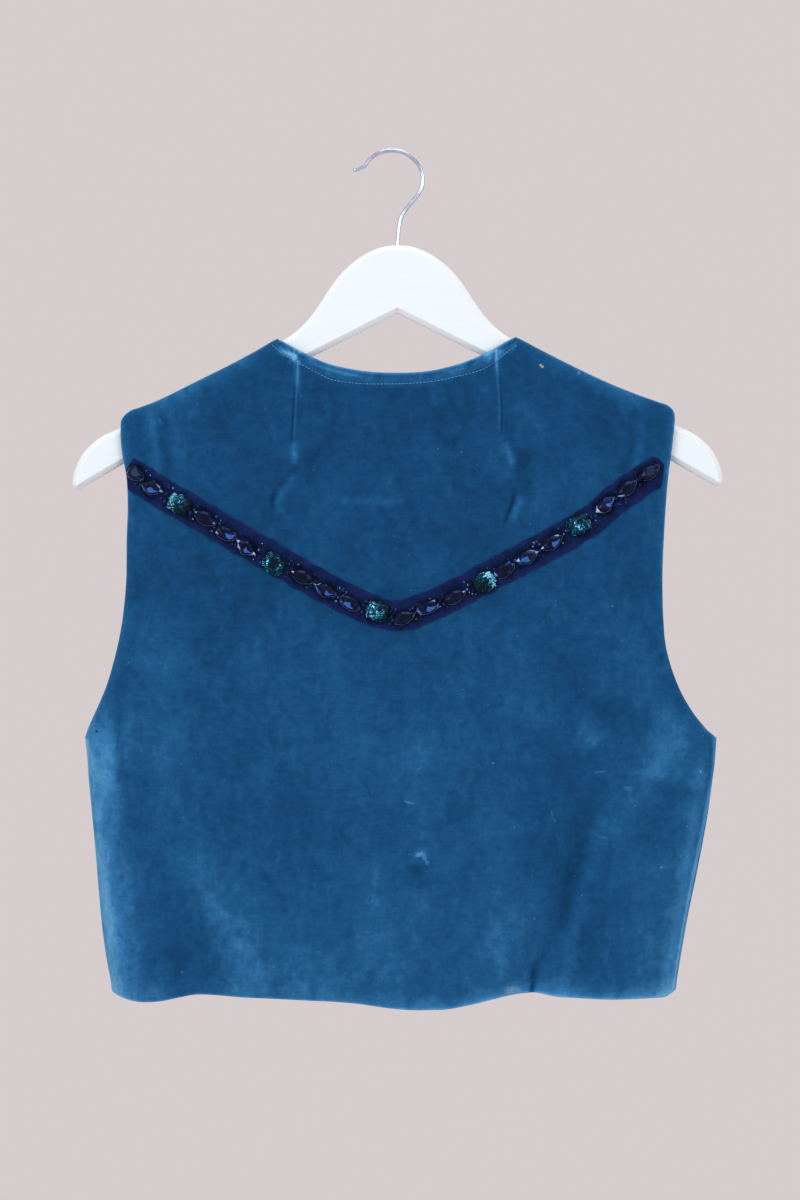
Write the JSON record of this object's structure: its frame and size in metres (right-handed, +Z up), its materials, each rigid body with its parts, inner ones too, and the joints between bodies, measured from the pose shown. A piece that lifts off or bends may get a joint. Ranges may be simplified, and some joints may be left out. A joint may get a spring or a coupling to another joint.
{
  "type": "vest on a hanger",
  "caption": "Cropped sleeveless velvet vest with a beaded V trim on the back, hanging open at the front on a flat wooden hanger with a wire hook.",
  "frame": {"origin": "inside of the hook's bend, where a rail holds the hanger, on the hanger's centre line", "axes": "+Z up; the vest's back faces -Y and its open front faces +Y; +X is the wearer's right"},
  "size_m": [0.4466, 0.0592, 0.5893],
  "materials": {
    "velvet": "short pile velvet",
    "beaded_ribbon": "net ribbon with glossy faceted beads",
    "painted_wood": "satin white paint",
    "chrome": "bright"
  },
  "bodies": {
    "root": {"back_panel": "velvet", "front_left": "velvet", "front_right": "velvet", "bead_trim": "beaded_ribbon", "hanger_bar": "painted_wood", "hanger_hook": "chrome"}
  },
  "joints": []
}
